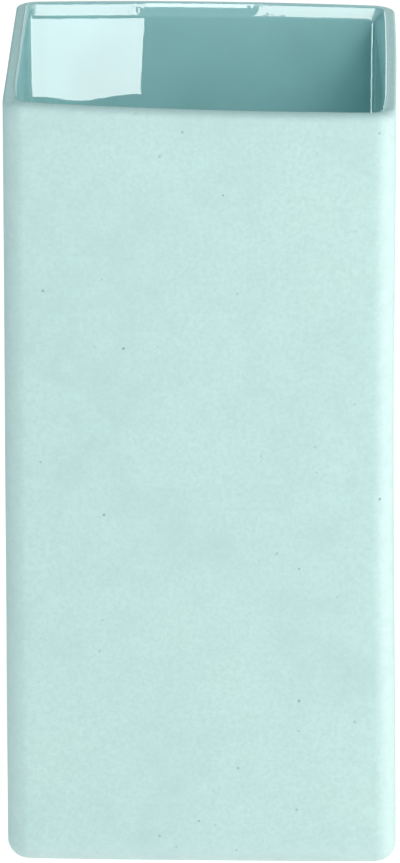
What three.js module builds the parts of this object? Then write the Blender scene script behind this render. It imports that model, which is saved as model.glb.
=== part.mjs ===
// A tall square vase of cast stoneware, matt outside, with a glossy glaze fired onto its inside.
// Millimetres, +Z up. The origin is the middle of the foot, on the surface that the vase stands on.

import * as THREE from 'three';

// Outside of the body.
const width = 90;
const depth = 90;
const height = 182;
const edgeRadius = 5; // upright edges
const baseRadius = 4.5; // edge between the walls and the foot

// Foot.
const footWidth = 6; // flat ring that the vase stands on
const recessDepth = 1.2; // hollow inside that ring
const recessSlope = 1.5; // width of the sloped step into the hollow
const recessCorner = 4; // corners of the hollow
const footCorner = 0.5; // least corner radius of the ring's outer edge

// Lip: a flat top with a rounded outer edge and a crisp inner edge, and a long curve from there into the wall.
const lipRound = 0.6; // radius of the outer edge
const lipFlat = 1.85; // width of the flat top
const lipEdge = 0.25; // radius of the inner edge
const lipEase = 6; // radius of the long curve
const lipTurn = 32; // degrees that the long curve turns

// Walls and floor. The walls drain thicker towards the floor.
const floorWall = 5; // clay just above the floor
const floorThickness = 5;
const cornerRadius = 1.5; // upright inside corners
const floorRadius = 6; // inside edge between the walls and the floor

// Glaze.
const glazeThickness = 0.4;
const glazeOverlap = 0.25; // flat top of the lip that the glaze covers

// Fineness of the curves, in pairs of flats to an arc of an outline and of a profile.
const outlineArc = 4;
const profileArc = 3;
const sameSpot = 1e-6; // points of a profile that are nearer than this are one

// Places that follow from the sizes above.
const flatEnd = lipRound + lipFlat;
const glazeStart = flatEnd - glazeOverlap;
const easeTurn = THREE.MathUtils.degToRad(lipTurn);
const easeInset = flatEnd - (lipEase - lipEdge) * Math.cos(easeTurn);
const lipBase = height - lipEdge - (lipEase - lipEdge) * Math.sin(easeTurn);
const lipWall = easeInset + lipEase; // clay just under the lip
const floorTop = recessDepth + floorThickness;

// A profile is a path of distance in from the outside faces against height. Each of its points becomes a
// level, a rounded rectangle whose corner radius goes by that distance.
function levels(profile, radiusAt) {
  const points = profile.getPoints(profileArc);
  const apart = points.filter((point, i) => i === 0 || point.distanceTo(points[i - 1]) > sameSpot);
  return apart.map((point) => ({ inset: point.x, z: point.y, radius: radiusAt(point.x) }));
}

// Corners grow tighter from the outside edge over the lip to the inside corner.
function lipCorner(inset) {
  return THREE.MathUtils.lerp(edgeRadius, cornerRadius, Math.min(inset / lipWall, 1));
}

// Underside: the hollow and the inner edge of the ring round it.
function recessLevels() {
  const ringInside = baseRadius + footWidth;
  const profile = new THREE.Path();
  profile.moveTo(ringInside + recessSlope, recessDepth);
  profile.lineTo(ringInside, 0);
  return levels(profile, () => recessCorner);
}

// Rounded edge from the ring up to the walls.
function baseLevels() {
  const profile = new THREE.Path();
  profile.absarc(baseRadius, baseRadius, baseRadius, 1.5 * Math.PI, Math.PI, true);
  return levels(profile, (inset) => Math.max(edgeRadius - inset, footCorner));
}

// Bare outer part of the lip, from the top of the wall over its outer edge to the edge of the glaze.
function lipLevels() {
  const profile = new THREE.Path();
  profile.absarc(lipRound, height - lipRound, lipRound, Math.PI, 0.5 * Math.PI, true);
  profile.lineTo(glazeStart, height);
  return levels(profile, lipCorner);
}

// Inside surface, from the edge of the glaze down the wall to the flat of the floor. A coat raises it.
function insideLevels(coat) {
  const floorCenter = floorTop + floorRadius;
  const profile = new THREE.Path();
  profile.moveTo(glazeStart, height + coat);
  profile.absarc(flatEnd, height - lipEdge, lipEdge + coat, 0.5 * Math.PI, easeTurn, true);
  profile.absarc(easeInset, lipBase, lipEase + coat, easeTurn, 0, true);
  profile.absarc(floorWall + floorRadius, floorCenter, floorRadius - coat, Math.PI, 1.5 * Math.PI, false);
  return levels(profile, (inset) => lipCorner(inset) - coat);
}

// Outline of a level, counterclockwise from its +X side.
function outline({ inset, z, radius }) {
  const x = width / 2 - inset - radius;
  const y = depth / 2 - inset - radius;
  const path = new THREE.Path();
  path.absarc(x, y, radius, 0, 0.5 * Math.PI, false);
  path.absarc(-x, y, radius, 0.5 * Math.PI, Math.PI, false);
  path.absarc(-x, -y, radius, Math.PI, 1.5 * Math.PI, false);
  path.absarc(x, -y, radius, 1.5 * Math.PI, 2 * Math.PI, false);
  return path.getPoints(outlineArc).map((point) => new THREE.Vector3(point.x, point.y, z));
}

// Closed skin through a run of levels. The first and the last level are closed with flat faces, the first
// facing down and the last facing up.
function loft(run) {
  const rings = run.map(outline);
  const count = rings[0].length;
  const last = (rings.length - 1) * count;
  const bottomCenter = rings.length * count;
  const topCenter = bottomCenter + 1;
  const centers = [new THREE.Vector3(0, 0, run[0].z), new THREE.Vector3(0, 0, run[run.length - 1].z)];
  const index = [];
  for (let side = 0; side < count; side += 1) {
    const next = (side + 1) % count;
    index.push(bottomCenter, next, side);
    for (let start = 0; start < last; start += count) {
      index.push(start + side, start + next, start + count + next);
      index.push(start + side, start + count + next, start + count + side);
    }
    index.push(last + side, last + next, topCenter);
  }
  const geometry = new THREE.BufferGeometry().setFromPoints([...rings.flat(), ...centers]);
  geometry.setIndex(index);
  geometry.computeVertexNormals();
  return geometry;
}

function piece(name, geometry, material) {
  const mesh = new THREE.Mesh(geometry, material);
  mesh.name = name;
  return mesh;
}

const bareStoneware = new THREE.MeshStandardMaterial({ color: 0xc8e6e2, roughness: 0.85, metalness: 0 });
const glossGlaze = new THREE.MeshStandardMaterial({ color: 0xaee0df, roughness: 0.08, metalness: 0 });

const bodyLevels = [...recessLevels(), ...baseLevels(), ...lipLevels(), ...insideLevels(0).slice(1)];
const liningLevels = [...insideLevels(0).reverse(), ...insideLevels(glazeThickness)];

const vase = new THREE.Group();
vase.name = 'square_vase';
vase.add(piece('stoneware_body', loft(bodyLevels), bareStoneware));
vase.add(piece('glaze_lining', loft(liningLevels), glossGlaze));

export default vase;
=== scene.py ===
# Looks of a tall square vase: fine meshes for the matt stoneware body and for the glossy glaze inside it,
# their materials, a plain white studio and the photograph's camera. Metres, in the CAD model's own frame:
# +Z is up and the photographed face looks towards -Y.

import math
from collections import namedtuple

import bpy
from mathutils import Matrix, Vector, noise


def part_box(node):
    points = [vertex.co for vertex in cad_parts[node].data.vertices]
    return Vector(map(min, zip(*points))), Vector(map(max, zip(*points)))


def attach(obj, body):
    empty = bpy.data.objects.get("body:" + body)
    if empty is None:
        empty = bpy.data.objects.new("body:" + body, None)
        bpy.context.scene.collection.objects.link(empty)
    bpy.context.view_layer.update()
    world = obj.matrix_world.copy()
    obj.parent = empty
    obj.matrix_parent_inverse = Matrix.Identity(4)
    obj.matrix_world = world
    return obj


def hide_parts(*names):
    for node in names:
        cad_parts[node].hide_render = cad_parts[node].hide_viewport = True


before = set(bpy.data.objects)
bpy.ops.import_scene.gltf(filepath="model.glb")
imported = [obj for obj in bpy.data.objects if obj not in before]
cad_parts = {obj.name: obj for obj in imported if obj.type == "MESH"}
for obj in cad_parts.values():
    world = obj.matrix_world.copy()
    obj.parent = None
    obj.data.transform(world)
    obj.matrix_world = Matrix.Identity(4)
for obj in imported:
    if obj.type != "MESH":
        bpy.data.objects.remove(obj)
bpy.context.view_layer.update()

MM = 0.001
QUARTER_TURN = 0.5 * math.pi

# Overall sizes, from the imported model.
BODY_LOW, BODY_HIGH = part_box("stoneware_body")
LINING_LOW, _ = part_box("glaze_lining")
HALF_X = (BODY_HIGH.x - BODY_LOW.x) / 2
HALF_Y = (BODY_HIGH.y - BODY_LOW.y) / 2
HEIGHT = BODY_HIGH.z
FLOOR_TOP = LINING_LOW.z

# Sizes of the clay, the same as in the CAD source.
EDGE_RADIUS = 5.0 * MM  # upright edges
BASE_RADIUS = 4.5 * MM  # edge between the walls and the foot
FOOT_WIDTH = 6.0 * MM  # flat ring that the vase stands on
FOOT_CORNER = 0.5 * MM  # least corner radius of the ring's outer edge
RECESS_DEPTH = 1.2 * MM  # hollow inside that ring
RECESS_SLOPE = 1.5 * MM  # width of the sloped step into the hollow
RECESS_CORNER = 4.0 * MM  # corners of the hollow
FLOOR_WALL = 5.0 * MM  # wall just above the floor
FLOOR_RADIUS = 6.0 * MM  # inside edge between the walls and the floor
CORNER_RADIUS = 1.5 * MM  # upright inside corners

# Sizes of the lip: a rounded outer edge, a flat top, a crisp inner edge, and a long curve into the wall.
LIP_ROUND = 0.6 * MM
LIP_FRONT_ROUND = 2.2 * MM  # outer edge along the front
LIP_TOP = 1.85 * MM
LIP_WIDEN = 0.8 * MM  # how much wider the flat top is in front
LIP_NARROW = 0.48 * MM  # how much narrower it is along the right
LIP_EDGE = 0.25 * MM
LIP_EASE = 6.0 * MM
LIP_TURN = math.radians(32.0)

# Places on the lip that follow from its sizes.
LIP_TOP_END = LIP_ROUND + LIP_TOP
LIP_EDGE_LENGTH = LIP_EDGE * (QUARTER_TURN - LIP_TURN)
LIP_LENGTH = LIP_EDGE_LENGTH + LIP_EASE * LIP_TURN
LIP_EASE_INSET = LIP_TOP_END - (LIP_EASE - LIP_EDGE) * math.cos(LIP_TURN)
LIP_WALL = LIP_EASE_INSET + LIP_EASE
LIP_BASE = HEIGHT - LIP_EDGE - (LIP_EASE - LIP_EDGE) * math.sin(LIP_TURN)

# Sizes of the glaze.
GLAZE = 0.4 * MM  # thickness on the walls
GLAZE_EDGE = 0.2 * MM  # thickness at its edge
GLAZE_BEAD = 0.25 * MM  # width of its rounded edge
GLAZE_START = -0.25 * MM  # where it starts, along the lip's path past the end of the flat top
GLAZE_FRONT_DROP = 0.9 * MM  # how much later it starts along the front
GLAZE_WANDER = 0.14 * MM  # how far its start wanders
GLAZE_WANDER_LENGTH = 14.0 * MM
GLAZE_WAVER = 0.2 * MM  # how far its face wavers
GLAZE_WAVER_LENGTH = 9.0 * MM
GLAZE_CALM = 0.12  # share of that waver that is left at the lip
GLAZE_CALM_DEPTH = 9.0 * MM

# Unevenness of the firing. The vase leans and tapers, and its right wall draws in at the waist and bulges
# towards the rim. The rim tilts, twists and sags. The front bows out, and the walls waver slowly. The hollow
# is a little skewed and wide.
LEAN = -1.10 * MM
TAPER = 0.67 * MM
WAIST = 0.55 * MM
BULGE = 0.31 * MM
RIM_TILT = -0.62 * MM
RIM_TWIST = 0.43 * MM
RIM_SAG = 0.65 * MM
RIM_FROM = 0.45  # share of the height from which these three begin to show
WALL_BOW = 0.8 * MM
WALL_WAVER = 0.08 * MM
WALL_WAVER_LENGTH = 45.0 * MM
WALL_WAVER_FULL = 0.15  # share of the height at which the waver has grown to its full size
HOLLOW_SKEW = -1.2 * MM
HOLLOW_WIDEN = 0.2 * MM

# Places in the noise that the wavers are taken from.
SEED_WALL_X = 3.1
SEED_WALL_Y = 7.7
SEED_GLAZE_START = 5.3
SEED_GLAZE_FACE = 9.4

# Where traits ease in, as shares of the half width or half depth from the middle of the vase.
FRONT_LIP = (0.86, 0.95)  # rounder lip, darker towards its top, and later glaze in front
FRONT_WIDER = (0.60, 0.95)  # wider flat top in front
RIGHT_NARROWER = (0.60, 0.95)  # narrower flat top along the right
RIGHT_FROM_BACK = (1.0, 0.7)  # the same, from the back corner forward
UPRIGHT_EDGE = (0.90, 0.96)  # upright edges
OUTSIDE = 0.955  # what lies further out is the outside of the body
INSIDE_TO_OUTSIDE = 1.11  # takes the inside corners out to the upright edges

# Where the colour of the clay and of the glaze changes.
# Paler clay at the foot, along the upright edges and a little at the lip: partly wear, partly painted sheen
# and bounce light.
WORN_AND_SHEEN_LIP = 0.3  # how much of the wear and painted sheen at the edges the lip has
WORN_AND_SHEEN_LIP_DEPTH = (2.0 * LIP_FRONT_ROUND, LIP_FRONT_ROUND)  # under the top
WORN_AND_SHEEN_FOOT_HEIGHT = 1.5 * BASE_RADIUS
# The clay is made darker towards the top of the front lip, between these distances in.
DARKER_LIP_START = -0.3 * MM  # distance in from the outside faces
DARKER_LIP_END = 2.2 * MM
POOL_HEIGHT = 2.0 * FLOOR_RADIUS  # pooled glaze above the floor
POOL_CORNER = 0.8  # how much of that pooling the corners have
LIP_SHADE_END = LIP_BASE + 0.6 * (HEIGHT - LIP_BASE)  # painted shade on the glaze over the lip, from its base

# Fineness of the meshes, in steps.
CORNER_STEPS = 14
SIDE_STEPS = 40
STATIONS = 4 * (CORNER_STEPS + SIDE_STEPS)
WALL_STEPS = 64
LIP_STEPS = 20
EDGE_STEPS = 10
FACE_STEPS = 40
ARC_STEPS = 12
BEAD_STEPS = 8
FLAT_STEPS = 9
CAP_REACH = 6.0 * MM  # half width of the innermost rings, round the points that close a mesh
SHARP_ANGLE = math.radians(55.0)

# Colours of the clay and of the glaze.
CLAY = (0.578, 0.797, 0.760)
CLAY_CLOUD_DARK = (0.531, 0.751, 0.740)
CLAY_CLOUD_PALE = (0.625, 0.847, 0.784)
# paler clay at the edges and foot: partly wear, partly painted sheen and bounce light
CLAY_WORN_AND_SHEEN = (0.700, 0.885, 0.865)
GLAZE_COLOR = (0.42, 0.742, 0.737)
# darker glaze over the lip: painted shade
GLAZE_LIP_SHADE = (0.25, 0.52, 0.52)

# Noise and specks of the materials.
NOISE_SPAN = (0.3, 0.7)  # values of the noise that are spread out
SPECK_CORE = 0.6  # share of a speck's radius that has its full strength
SPECK_FADE = 3.0  # the higher, the more of the specks are faint

# Studio floor and world. The light that the floor throws back grows from the left to the right.
FLOOR_REACH = 4.0
FLOOR_DROP = 0.05 * MM
FLOOR_WHITE = 0.92
FLOOR_SHADOW = 0.35
BOUNCE_REACH = 0.25
BOUNCE_LEFT = 0.84
BOUNCE_RIGHT = 1.13
AMBIENT = (0.135, 0.205, 0.228)
WHITE = (1.0, 1.0, 1.0)

# Soft lamps round the vase, which light it: degrees and radiance.
Softbox = namedtuple("Softbox", "name azimuth elevation radiance color")
SOFTBOX_DISTANCE = 2.8
SOFTBOX_WIDTH = 1.8
SOFTBOX_HEIGHT = 1.4
SOFTBOXES = (
    Softbox("key", 68.0, 15.0, 3.8, (1.0, 0.87, 0.865)),
    Softbox("front", 35.0, 41.0, 4.15, WHITE),
    Softbox("fill", -65.0, 30.0, 1.5, (0.78, 0.94, 1.0)),
)

# Cards, which show as mirror images in the glaze. They give no diffuse light, and the clay only a very faint
# sheen. Their numbers are millimetres from the middle of the rim, degrees of roll about the facing, and
# radiance. The first three give the bands along the back lip, and the fourth the line along the right lip.
# Those inside the vase give the patch on the back wall, the line down the corner and the tone of the strip
# beside it.
Card = namedtuple("Card", "name place facing width height roll radiance color")
BACKWARD = (0.0, 1.0, 0.0)
FORWARD = (0.0, -1.0, 0.0)
DOWNWARD = (0.0, 0.0, -1.0)
ACROSS = (1.0, -0.06, 0.0)
WARM = (1.0, 0.95, 0.93)
COOL = (0.78, 1.0, 1.0)
TEAL = (0.58, 1.0, 0.92)
CARDS = (
    Card("card_left", (-116.2, -560.0, 375.0), BACKWARD, 150.0, 650.0, 0.84, 10.6, WARM),
    Card("card_right", (88.6, -560.0, 400.0), BACKWARD, 150.0, 630.0, -0.28, 10.3, WARM),
    Card("card_above", (-14.0, -400.0, 700.0), DOWNWARD, 58.0, 700.0, -1.0, 12.8, WARM),
    Card("card_behind", (-128.0, 600.0, 70.0), FORWARD, 80.0, 140.0, 0.0, 2.0, COOL),
    Card("card_inside", (-29.2, 19.0, -17.85), BACKWARD, 26.2, 20.0, 0.0, 11.4, WHITE),
    Card("card_corner", (-38.0, -5.0, -38.0), ACROSS, 60.0, 38.0, 0.0, 10.5, COOL),
    Card("card_strip", (33.8, 40.0, -12.2), FORWARD, 9.6, 25.5, 0.0, 0.06, TEAL),
)
FIRST_MIRROR = 2.5  # ray depth that a card's first mirror image stays under and the later ones exceed

# The photograph's camera, in degrees, metres and, for the sensor and the lens, millimetres.
CAMERA_TARGET = Vector((-1.42 * MM, 0.0, 91.05 * MM))
CAMERA_AZIMUTH = 1.08
CAMERA_ELEVATION = 18.42
CAMERA_ROLL = 0.135
CAMERA_DISTANCE = 2.0
CAMERA_SENSOR = 36.0
CAMERA_LENS = 357.8


def lerp(a, b, share):
    return a + (b - a) * share


def ease(value, start=0.0, end=1.0):
    """Eases from 0 at the start to 1 at the end, which may be the lower of the two."""
    t = min(max((value - start) / (end - start), 0.0), 1.0)
    return t * t * (3.0 - 2.0 * t)


def steps(count):
    """Shares from 0 to 1, both ends included."""
    return [i / count for i in range(count + 1)]


# Profiles. A level is a distance in from the outside faces, a height, a corner radius, and how much of the
# hollow's sideways shift it takes.

Level = namedtuple("Level", "inset z radius inside")


def lip_corner(inset):
    """Corner radius, which grows tighter from the outside over the lip to the inside."""
    return lerp(EDGE_RADIUS, CORNER_RADIUS, min(inset / LIP_WALL, 1.0))


def lip_level(run, coat):
    """A point of the lip, by the length of its path past the end of the flat top, raised by a coat."""
    if run <= 0.0:
        return Level(LIP_TOP_END + run, HEIGHT + coat, lip_corner(LIP_TOP_END + run) - coat, 0.0)
    if run <= LIP_EDGE_LENGTH:
        tilt = QUARTER_TURN - run / LIP_EDGE
        middle = Vector((LIP_TOP_END, HEIGHT - LIP_EDGE))
        radius = LIP_EDGE + coat
    else:
        tilt = LIP_TURN - (run - LIP_EDGE_LENGTH) / LIP_EASE
        middle = Vector((LIP_EASE_INSET, LIP_BASE))
        radius = LIP_EASE + coat
    inset, z = middle + radius * Vector((math.cos(tilt), math.sin(tilt)))
    return Level(inset, z, lip_corner(inset - coat) - coat, ease(z, HEIGHT, LIP_BASE))


def underside_levels():
    """From the middle of the hollow under the vase out to the flat ring of the foot."""
    ring_inside = BASE_RADIUS + FOOT_WIDTH
    hollow_edge = ring_inside + RECESS_SLOPE
    hollow_middle = min(HALF_X, HALF_Y) - CAP_REACH
    hollow = [
        Level(lerp(hollow_middle, hollow_edge, s), RECESS_DEPTH, RECESS_CORNER, 0.0)
        for s in steps(FLAT_STEPS)
    ]
    step = [
        Level(lerp(hollow_edge, ring_inside, s), RECESS_DEPTH * ease(s, 1.0, 0.0), RECESS_CORNER, 0.0)
        for s in steps(ARC_STEPS)
    ]
    ring = [
        Level(lerp(ring_inside, BASE_RADIUS, s), 0.0, lerp(RECESS_CORNER, FOOT_CORNER, s), 0.0)
        for s in steps(FLAT_STEPS)
    ]
    return hollow + step[1:] + ring[1:]


def outside_levels(lip_radius):
    """The rounded edge above the foot, the wall, and the lip's rounded outer edge."""
    levels = []
    for s in steps(ARC_STEPS):
        turn = QUARTER_TURN * s
        inset = BASE_RADIUS * (1.0 - math.sin(turn))
        z = BASE_RADIUS * (1.0 - math.cos(turn))
        levels.append(Level(inset, z, max(EDGE_RADIUS - inset, FOOT_CORNER), 0.0))
    wall_top = HEIGHT - lip_radius
    for s in steps(WALL_STEPS)[1:]:
        levels.append(Level(0.0, lerp(BASE_RADIUS, wall_top, s), EDGE_RADIUS, 0.0))
    for s in steps(ARC_STEPS)[1:]:
        turn = QUARTER_TURN * s
        inset = lip_radius * (1.0 - math.cos(turn))
        levels.append(Level(inset, wall_top + lip_radius * math.sin(turn), lip_corner(inset), 0.0))
    return levels


def wall_and_floor_levels(coat):
    """The inside from under the lip down to the middle of the floor, raised by a coat."""
    levels = []
    radius = CORNER_RADIUS - coat
    floor_center = FLOOR_TOP + FLOOR_RADIUS
    for s in steps(WALL_STEPS)[1:]:
        inset = lerp(LIP_WALL, FLOOR_WALL, s) + coat
        levels.append(Level(inset, lerp(LIP_BASE, floor_center, s), radius, 1.0))
    flat_edge = FLOOR_WALL + FLOOR_RADIUS
    arc = FLOOR_RADIUS - coat
    for s in steps(ARC_STEPS)[1:]:
        turn = QUARTER_TURN * s
        inset = flat_edge - arc * math.cos(turn)
        levels.append(Level(inset, floor_center - arc * math.sin(turn), radius, 1.0))
    flat_middle = min(HALF_X, HALF_Y) - CAP_REACH
    for s in steps(FLAT_STEPS)[1:]:
        levels.append(Level(lerp(flat_edge, flat_middle, s), FLOOR_TOP + coat, radius, 1.0))
    return levels


def body_levels(lip_radius):
    """The whole clay, from the middle of its underside over the lip to the middle of its floor."""
    top_start = lip_radius - LIP_TOP_END
    top = [lerp(top_start, LIP_EDGE_LENGTH, s) for s in steps(EDGE_STEPS)]
    curve = [lerp(LIP_EDGE_LENGTH, LIP_LENGTH, s) for s in steps(LIP_STEPS)]
    lip = [lip_level(run, 0.0) for run in top[1:] + curve[1:]]
    return underside_levels() + outside_levels(lip_radius)[1:] + lip + wall_and_floor_levels(0.0)


def lining_levels(start):
    """The glaze's back, from the middle of the floor up to its edge, and its face from there down again."""
    back = [lip_level(lerp(start, LIP_LENGTH, s), 0.0) for s in steps(FACE_STEPS)[1:]]
    back = (back + wall_and_floor_levels(0.0))[::-1]
    face = []
    for s in steps(BEAD_STEPS):
        turn = QUARTER_TURN * s
        face.append(lip_level(start + GLAZE_BEAD * (1.0 - math.cos(turn)), GLAZE_EDGE * math.sin(turn)))
    for s in steps(FACE_STEPS)[1:]:
        run = lerp(start + GLAZE_BEAD, LIP_LENGTH, s * s)
        face.append(lip_level(run, lerp(GLAZE_EDGE, GLAZE, ease(s * s))))
    return back + face + wall_and_floor_levels(GLAZE)


# Outlines. A station is a place along the outline of a level, the same on every level.


def station(index, inset, radius):
    """A point of a rounded rectangle, counterclockwise from the start of the corner at +X and +Y."""
    quarter, place = divmod(index % STATIONS, CORNER_STEPS + SIDE_STEPS)
    reach_x = HALF_X - inset
    reach_y = HALF_Y - inset
    radius = min(radius, reach_x, reach_y)
    signs = ((1, 1), (-1, 1), (-1, -1), (1, -1))
    here = signs[quarter]
    center = Vector((here[0] * (reach_x - radius), here[1] * (reach_y - radius)))
    start = QUARTER_TURN * quarter
    if place <= CORNER_STEPS:
        turn = start + QUARTER_TURN * place / CORNER_STEPS
        return center + radius * Vector((math.cos(turn), math.sin(turn)))
    after = signs[(quarter + 1) % 4]
    next_center = Vector((after[0] * (reach_x - radius), after[1] * (reach_y - radius)))
    out = radius * Vector((math.cos(start + QUARTER_TURN), math.sin(start + QUARTER_TURN)))
    return center.lerp(next_center, (place - CORNER_STEPS) / SIDE_STEPS) + out


def front_share(point):
    """1 along the front of the lip and 0 along its other sides."""
    return ease(-point.y / HALF_Y, *FRONT_LIP)


def edge_share(point):
    """1 along the upright edges and 0 on the flats between them."""
    nearest = min(abs(point.x) / HALF_X, abs(point.y) / HALF_Y)
    return ease(nearest, *UPRIGHT_EDGE)


def on_lip_edge(level):
    """1 at the inner edge of the lip's flat top, and less towards the outside and the wall under the lip."""
    if level.z < LIP_BASE:
        return 0.0
    outer = (level.inset - LIP_ROUND) / (LIP_TOP_END - LIP_ROUND)
    inner = (LIP_WALL - level.inset) / (LIP_WALL - LIP_TOP_END)
    return max(min(outer, inner, 1.0), 0.0)


def lip_widening(index):
    """How much wider than usual the lip's flat top is at a station."""
    spot = station(index, 0.0, EDGE_RADIUS)
    along = spot.y / HALF_Y
    front = ease(-along, *FRONT_WIDER)
    right = ease(spot.x / HALF_X, *RIGHT_NARROWER) * ease(along, *RIGHT_FROM_BACK)
    return LIP_WIDEN * front - LIP_NARROW * right


def lip_outer_radius(index):
    """Radius of the lip's outer edge at a station."""
    return lerp(LIP_ROUND, LIP_FRONT_ROUND, front_share(station(index, 0.0, EDGE_RADIUS)))


def glaze_start(index):
    """Where the glaze starts along the lip's path at a station."""
    flat = station(index, LIP_TOP_END, EDGE_RADIUS)
    wander = waver((flat.x, flat.y, HEIGHT), GLAZE_WANDER_LENGTH, SEED_GLAZE_START)
    return GLAZE_START + GLAZE_FRONT_DROP * front_share(flat) + GLAZE_WANDER * wander


# Unevenness.


def waver(point, length, seed):
    """Slow noise from -1 to 1 that changes over about one length."""
    return noise.noise(Vector(point) / length + Vector((seed, 2.0 * seed, -seed)))


def uneven(point):
    """Moves a point of the true form as the firing moved the vase, body and glaze alike."""
    x, y, z = point
    across = x / HALF_X
    along = y / HALF_Y
    up = z / HEIGHT
    to_right = 0.5 * (1.0 + across)
    lean = (LEAN - TAPER * across) * up
    right_wall = BULGE * (1.0 - along * along) * up - WAIST * math.sin(math.pi * up) ** 2
    bow = WALL_BOW * min(along, 0.0) * across ** 4
    rise = RIM_TILT * across + RIM_TWIST * across * along + RIM_SAG * along * (1.0 - across * across)
    sway = WALL_WAVER * ease(up, 0.0, WALL_WAVER_FULL)
    return Vector((
        x + lean + to_right * right_wall + sway * waver(point, WALL_WAVER_LENGTH, SEED_WALL_X),
        y - bow + sway * waver(point, WALL_WAVER_LENGTH, SEED_WALL_Y),
        z + rise * ease(up, RIM_FROM),
    ))


def wavered_glaze(point):
    """Moves a point of the glaze's face in or out a little, as the glaze ran."""
    reach = Vector((point.x, point.y, 0.0))
    if reach.length == 0.0:
        return point
    amount = GLAZE_WAVER * lerp(GLAZE_CALM, 1.0, ease(HEIGHT - point.z, 0.0, GLAZE_CALM_DEPTH))
    return point + reach.normalized() * amount * waver(point, GLAZE_WAVER_LENGTH, SEED_GLAZE_FACE)


# Meshes. A skin has one column of levels for each station, and its two ends are closed.


def skin_point(index, level):
    """A point of a level at a station, with the lip's uneven width and the hollow's sideways shift."""
    flat = station(index, level.inset + lip_widening(index) * on_lip_edge(level), level.radius)
    shift = HOLLOW_SKEW * flat.y / HALF_Y + HOLLOW_WIDEN * flat.x / HALF_X
    return Vector((flat.x + shift * level.inside, flat.y, level.z))


def skin_points(columns):
    """Points of a skin, ring by ring, and then the middles of its two ends."""
    points = []
    for ring in zip(*columns):
        for index, level in enumerate(ring):
            points.append(skin_point(index, level))
    for end in (columns[0][0], columns[0][-1]):
        points.append(Vector((0.0, 0.0, end.z)))
    return points


def skin_faces(rings):
    """Faces of a skin with so many rings."""
    faces = []
    for ring in range(rings - 1):
        low = ring * STATIONS
        high = low + STATIONS
        for index in range(STATIONS):
            after = (index + 1) % STATIONS
            faces.append((low + index, low + after, high + after, high + index))
    last = (rings - 1) * STATIONS
    bottom = rings * STATIONS
    top = bottom + 1
    for index in range(STATIONS):
        after = (index + 1) % STATIONS
        faces.append((bottom, after, index))
        faces.append((last + index, last + after, top))
    return faces


def new_piece(name, points, faces, material):
    mesh = bpy.data.meshes.new(name)
    mesh.from_pydata([tuple(point) for point in points], [], faces)
    mesh.shade_smooth()
    mesh.set_sharp_from_angle(angle=SHARP_ANGLE)
    mesh.materials.append(material)
    piece = bpy.data.objects.new(name, mesh)
    bpy.context.scene.collection.objects.link(piece)
    return piece


def add_share(piece, name, shares):
    """Stores one number from 0 to 1 for each vertex, for the material to read."""
    layer = piece.data.attributes.new(name, "FLOAT", "POINT")
    layer.data.foreach_set("value", shares)


def worn_and_sheen_share(point):
    """Paler clay at the foot, the upright edges and a bit of the lip: partly wear, partly painted sheen and
    bounce light.
    """
    if max(abs(point.x) / HALF_X, abs(point.y) / HALF_Y) <= OUTSIDE:
        return 0.0
    lip = WORN_AND_SHEEN_LIP * ease(HEIGHT - point.z, *WORN_AND_SHEEN_LIP_DEPTH)
    foot = ease(point.z, WORN_AND_SHEEN_FOOT_HEIGHT, 0.0)
    return max(lip, foot, edge_share(point))


def darker_front_lip_share(point, level):
    """How much darker the clay is made towards the top of the front lip."""
    if level.z <= LIP_BASE:
        return 0.0
    return front_share(point) * ease(level.inset, DARKER_LIP_START, DARKER_LIP_END)


def pooled_share(point):
    """How much deeper the glaze is where it pooled on the floor and in the corners."""
    floor = ease(point.z, FLOOR_TOP + POOL_HEIGHT, FLOOR_TOP)
    return max(floor, POOL_CORNER * edge_share(INSIDE_TO_OUTSIDE * point))


def make_body(material):
    columns = [body_levels(lip_outer_radius(index)) for index in range(STATIONS)]
    points = skin_points(columns)
    levels = body_levels(LIP_ROUND)
    piece = new_piece("vase_body", [uneven(p) for p in points], skin_faces(len(levels)), material)
    add_share(piece, "worn_and_sheen", [worn_and_sheen_share(p) for p in points])
    last = len(levels) - 1
    darker_front_lip = [darker_front_lip_share(p, levels[min(i // STATIONS, last)]) for i, p in enumerate(points)]
    add_share(piece, "darker_front_lip", darker_front_lip)
    return piece


def make_lining(material):
    columns = [lining_levels(glaze_start(index)) for index in range(STATIONS)]
    points = skin_points(columns)
    back_rings = FACE_STEPS + WALL_STEPS + ARC_STEPS + FLAT_STEPS
    face_start = (back_rings + 1) * STATIONS
    moved = points[:face_start] + [wavered_glaze(p) for p in points[face_start:]]
    piece = new_piece("vase_glaze", [uneven(p) for p in moved], skin_faces(len(columns[0])), material)
    add_share(piece, "pooled", [pooled_share(p) for p in points])
    # Painted shade on the glaze over the lip.
    add_share(piece, "painted_lip_shade", [ease(p.z, LIP_BASE, LIP_SHADE_END) for p in points])
    return piece


# Node trees.

# Sockets for colours on the Mix node, which has others of the same names for numbers and vectors.
MIX_COLOR_A = 6
MIX_COLOR_B = 7
MIX_COLOR_RESULT = 2


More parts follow.
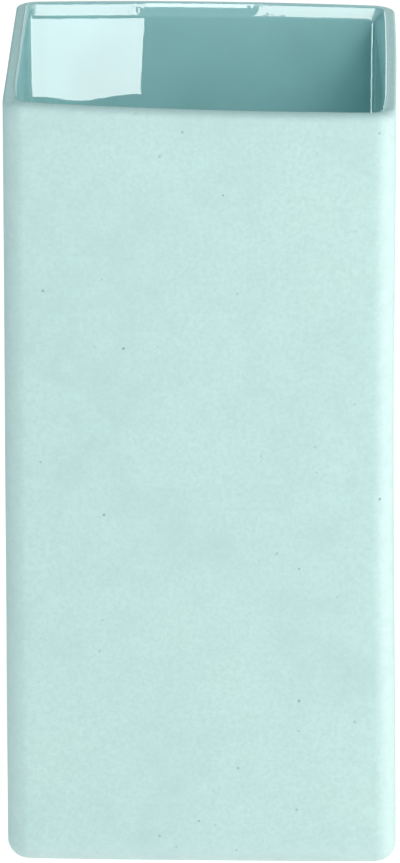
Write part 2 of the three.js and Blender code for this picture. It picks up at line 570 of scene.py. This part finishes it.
class Graph:
    """Adds nodes to a node tree. An input is set to a constant, or linked where it is given an output."""

    def __init__(self, tree):
        self.nodes = tree.nodes
        self.links = tree.links

    def set(self, socket, value):
        if isinstance(value, bpy.types.NodeSocket):
            self.links.new(value, socket)
        else:
            socket.default_value = value

    def add(self, kind, output, inputs, **settings):
        """Adds a node and returns one of its outputs."""
        node = self.nodes.new(kind)
        for name, value in settings.items():
            setattr(node, name, value)
        for name, value in inputs.items():
            self.set(node.inputs[name], value)
        return node.outputs[output]

    def math(self, operation, a, b):
        return self.add("ShaderNodeMath", "Value", {0: a, 1: b}, operation=operation)

    def mix(self, share, a, b):
        """A mix of two colours."""
        inputs = {"Factor": share, MIX_COLOR_A: a, MIX_COLOR_B: b}
        return self.add("ShaderNodeMix", MIX_COLOR_RESULT, inputs, data_type="RGBA")

    def ramp(self, value, start, end, low=0.0, high=1.0):
        """Maps a value from start to end onto low to high, and holds it there."""
        inputs = {"Value": value, "From Min": start, "From Max": end, "To Min": low, "To Max": high}
        return self.add("ShaderNodeMapRange", "Result", inputs)

    def seen_directly(self):
        """1 for rays from the camera and for mirrored or refracted ones, and 0 for rays that carry light."""
        path = self.nodes.new("ShaderNodeLightPath")
        mirrored = self.math("MAXIMUM", path.outputs["Is Camera Ray"], path.outputs["Is Glossy Ray"])
        return self.math("MAXIMUM", mirrored, path.outputs["Is Transmission Ray"])


class Shader(Graph):
    """Builds a material around one Principled BSDF, in the object's own coordinates in metres."""

    def __init__(self, name):
        self.material = bpy.data.materials.new(name)
        self.material.use_nodes = True
        super().__init__(self.material.node_tree)
        self.place = self.add("ShaderNodeTexCoord", "Object", {})

    def grain(self, size, detail=2.0, roughness=0.5):
        """Noise from 0 to 1 with features about one size wide."""
        inputs = {"Vector": self.place, "Scale": 1.0 / size, "Detail": detail, "Roughness": roughness}
        return self.add("ShaderNodeTexNoise", "Fac", inputs)

    def mottle(self, size, detail=2.0, roughness=0.5, low=0.0, high=1.0):
        """The same noise, spread out to reach from low to high."""
        return self.ramp(self.grain(size, detail, roughness), *NOISE_SPAN, low, high)

    def specks(self, spacing, radius, share):
        """Up to 1 inside round specks, most of them faint, and else 0. A share of the cells holds one."""
        cells = self.nodes.new("ShaderNodeTexVoronoi")
        self.set(cells.inputs["Vector"], self.place)
        self.set(cells.inputs["Scale"], 1.0 / spacing)
        draw = self.add("ShaderNodeSeparateColor", "Red", {"Color": cells.outputs["Color"]})
        strength = self.math("POWER", self.ramp(draw, 1.0 - share, 1.0), SPECK_FADE)
        rim = radius / spacing
        inside = self.ramp(cells.outputs["Distance"], rim, SPECK_CORE * rim)
        return self.math("MULTIPLY", strength, inside)

    def attribute(self, name):
        return self.add("ShaderNodeAttribute", "Fac", {}, attribute_name=name)

    def tint(self, color, other, mask, strength):
        """A colour with another mixed in by a mask, as far as a strength."""
        return self.mix(self.math("MULTIPLY", mask, strength), color, other)

    def bump(self, height, depth, normal=None):
        """A normal for a relief of a depth, on top of an earlier one."""
        inputs = {"Height": height, "Distance": depth}
        if normal is not None:
            inputs["Normal"] = normal
        return self.add("ShaderNodeBump", "Normal", inputs)

    def finish(self, inputs):
        """Sets the inputs of the surface and returns the material."""
        surface = self.nodes["Principled BSDF"]
        for name, value in inputs.items():
            self.set(surface.inputs[name], value)
        return self.material


# Materials.


def opaque(color, factor=1.0):
    """A colour for a socket, made darker or paler by a factor."""
    return tuple(min(c * factor, 1.0) for c in color) + (1.0,)


def stoneware_material():
    """Bare coloured clay: fine sandy grain, faint clouding, dark and pale specks, and paler edges and foot,
    partly from wear and partly painted sheen.
    """
    shader = Shader("matt_stoneware")
    clouds = shader.mottle(size=30.0 * MM, detail=3.0)
    color = shader.mix(clouds, opaque(CLAY_CLOUD_DARK), opaque(CLAY_CLOUD_PALE))
    patches = shader.mottle(size=6.0 * MM, detail=3.0, roughness=0.6)
    color = shader.tint(color, opaque(CLAY, 1.08), patches, strength=0.8)
    sand = shader.mottle(size=1.1 * MM, detail=3.0, roughness=0.75)
    color = shader.tint(color, opaque(CLAY, 0.87), sand, strength=0.6)
    # Painted sheen and bounce light, mixed with real wear: paler clay at the foot, the upright edges and the
    # lip.
    wear_and_sheen_strength = shader.mottle(size=3.0 * MM, low=0.35, high=0.65)
    color = shader.tint(color, opaque(CLAY_WORN_AND_SHEEN), shader.attribute("worn_and_sheen"), strength=wear_and_sheen_strength)
    # The clay is made darker towards the top of the front lip.
    color = shader.tint(color, opaque(CLAY, 0.42), shader.attribute("darker_front_lip"), strength=0.85)
    pits = shader.specks(spacing=4.5 * MM, radius=0.42 * MM, share=1.0)
    color = shader.tint(color, opaque(CLAY, 0.4), pits, strength=0.7)
    pale = shader.specks(spacing=6.0 * MM, radius=0.3 * MM, share=0.6)
    color = shader.tint(color, opaque(CLAY, 1.2), pale, strength=0.4)
    rough = shader.mottle(size=2.0 * MM, detail=3.0, low=0.72, high=0.86)
    normal = shader.bump(shader.grain(size=0.45 * MM, detail=3.0, roughness=0.6), depth=0.03 * MM)
    normal = shader.bump(shader.grain(size=3.5 * MM), depth=0.03 * MM, normal=normal)
    normal = shader.bump(shader.math("SUBTRACT", 1.0, pits), depth=0.08 * MM, normal=normal)
    return shader.finish(
        {"Base Color": color, "Roughness": rough, "Specular IOR Level": 0.15, "Normal": normal}
    )


def glaze_material():
    """Glossy glaze with faint ripples, deeper where it pooled, and with painted shade over the lip."""
    shader = Shader("gloss_glaze")
    drift = shader.mottle(size=18.0 * MM, detail=3.0)
    color = shader.mix(drift, opaque(GLAZE_COLOR, 0.92), opaque(GLAZE_COLOR, 1.01))
    color = shader.tint(color, opaque(GLAZE_COLOR, 0.72), shader.attribute("pooled"), strength=0.4)
    # Painted shade: the glaze is made darker over the lip.
    color = shader.tint(color, opaque(GLAZE_LIP_SHADE), shader.attribute("painted_lip_shade"), strength=0.5)
    pinholes = shader.specks(spacing=7.0 * MM, radius=0.16 * MM, share=0.2)
    color = shader.tint(color, opaque(GLAZE_COLOR, 0.6), pinholes, strength=0.5)
    rough = shader.mottle(size=5.0 * MM, low=0.008, high=0.02)
    normal = shader.bump(shader.math("SUBTRACT", 1.0, pinholes), depth=0.03 * MM)
    normal = shader.bump(shader.grain(size=3.0 * MM), depth=0.012 * MM, normal=normal)
    return shader.finish({"Base Color": color, "Roughness": rough, "IOR": 1.52, "Normal": normal})


def floor_material():
    """Pale floor that looks white and still shows the vase's shadow, and throws light back at the vase."""
    material = bpy.data.materials.new("studio_floor")
    material.use_nodes = True
    graph = Graph(material.node_tree)
    graph.nodes.remove(graph.nodes["Principled BSDF"])
    place = graph.add("ShaderNodeTexCoord", "Object", {})
    across = graph.add("ShaderNodeSeparateXYZ", "X", {"Vector": place})
    strength = graph.ramp(across, -BOUNCE_REACH, BOUNCE_REACH, BOUNCE_LEFT, BOUNCE_RIGHT)
    bounce = graph.add("ShaderNodeEmission", "Emission", {"Strength": strength})
    shadow = graph.add("ShaderNodeBsdfDiffuse", "BSDF", {"Color": opaque(WHITE, FLOOR_SHADOW)})
    white = graph.add("ShaderNodeEmission", "Emission", {"Strength": FLOOR_WHITE})
    shown = graph.add("ShaderNodeAddShader", "Shader", {0: shadow, 1: white})
    inputs = {"Fac": graph.seen_directly(), 1: bounce, 2: shown}
    surface = graph.add("ShaderNodeMixShader", "Shader", inputs)
    graph.set(graph.nodes["Material Output"].inputs["Surface"], surface)
    return material


# Studio.


def make_floor():
    mesh = bpy.data.meshes.new("studio_floor")
    corners = [
        (x * FLOOR_REACH, y * FLOOR_REACH, -FLOOR_DROP)
        for x, y in ((-1, -1), (1, -1), (1, 1), (-1, 1))
    ]
    mesh.from_pydata(corners, [], [(0, 1, 2, 3)])
    mesh.materials.append(floor_material())
    floor = bpy.data.objects.new("studio_floor", mesh)
    bpy.context.scene.collection.objects.link(floor)


def make_world():
    """White where it is seen, and a faint even light that is a little cool."""
    world = bpy.data.worlds.new("studio")
    bpy.context.scene.world = world
    world.use_nodes = True
    graph = Graph(world.node_tree)
    color = graph.mix(graph.seen_directly(), opaque(AMBIENT), opaque(WHITE))
    graph.set(graph.nodes["Background"].inputs["Color"], color)


def away(azimuth, elevation):
    """Direction from the vase towards a place round it, by degrees right of the front and up."""
    az = math.radians(azimuth)
    el = math.radians(elevation)
    return Vector((math.sin(az) * math.cos(el), -math.cos(az) * math.cos(el), math.sin(el)))


def add_panel(name, place, facing, width, height, radiance, color, roll=0.0):
    """A rectangular lamp, never seen itself, that faces along a direction, rolled about it by degrees."""
    data = bpy.data.lights.new(name, "AREA")
    data.shape = "RECTANGLE"
    data.size = width
    data.size_y = height
    data.energy = radiance * math.pi * width * height
    data.color = color
    lamp = bpy.data.objects.new(name, data)
    turn = Vector(facing).to_track_quat("-Z", "Y").to_matrix().to_4x4()
    rolled = turn @ Matrix.Rotation(math.radians(roll), 4, "Z")
    lamp.matrix_world = Matrix.Translation(place) @ rolled
    lamp.visible_camera = False
    bpy.context.scene.collection.objects.link(lamp)
    return lamp


def add_softbox(softbox):
    """A soft lamp that faces the middle of the vase."""
    out = away(softbox.azimuth, softbox.elevation)
    place = Vector((0.0, 0.0, 0.5 * HEIGHT)) + SOFTBOX_DISTANCE * out
    add_panel(softbox.name, place, -out, SOFTBOX_WIDTH, SOFTBOX_HEIGHT, softbox.radiance, softbox.color)


def add_card(card):
    """A bright card that gives no diffuse light and shows in the glaze, only in its first mirror image."""
    place = Vector((0.0, 0.0, HEIGHT)) + MM * Vector(card.place)
    width = MM * card.width
    height = MM * card.height
    lamp = add_panel(card.name, place, card.facing, width, height, card.radiance, card.color, card.roll)
    lamp.visible_diffuse = False
    lamp.data.use_nodes = True
    graph = Graph(lamp.data.node_tree)
    depth = graph.add("ShaderNodeLightPath", "Ray Depth", {})
    first = graph.math("LESS_THAN", depth, FIRST_MIRROR)
    graph.set(graph.nodes["Emission"].inputs["Strength"], first)


def make_lamps():
    for softbox in SOFTBOXES:
        add_softbox(softbox)
    for card in CARDS:
        add_card(card)


def make_camera():
    data = bpy.data.cameras.new("camera")
    data.sensor_width = CAMERA_SENSOR
    data.lens = CAMERA_LENS
    camera = bpy.data.objects.new("camera", data)
    back = away(CAMERA_AZIMUTH, CAMERA_ELEVATION)
    turn = back.to_track_quat("Z", "Y").to_matrix().to_4x4()
    place = Matrix.Translation(CAMERA_TARGET + CAMERA_DISTANCE * back)
    camera.matrix_world = place @ turn @ Matrix.Rotation(math.radians(CAMERA_ROLL), 4, "Z")
    bpy.context.scene.collection.objects.link(camera)
    bpy.context.scene.camera = camera


body = make_body(stoneware_material())
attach(body, "root")
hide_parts("stoneware_body")

lining = make_lining(glaze_material())
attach(lining, "root")
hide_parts("glaze_lining")

make_floor()
make_world()
make_lamps()
make_camera()
bpy.context.scene.view_settings.view_transform = "Standard"
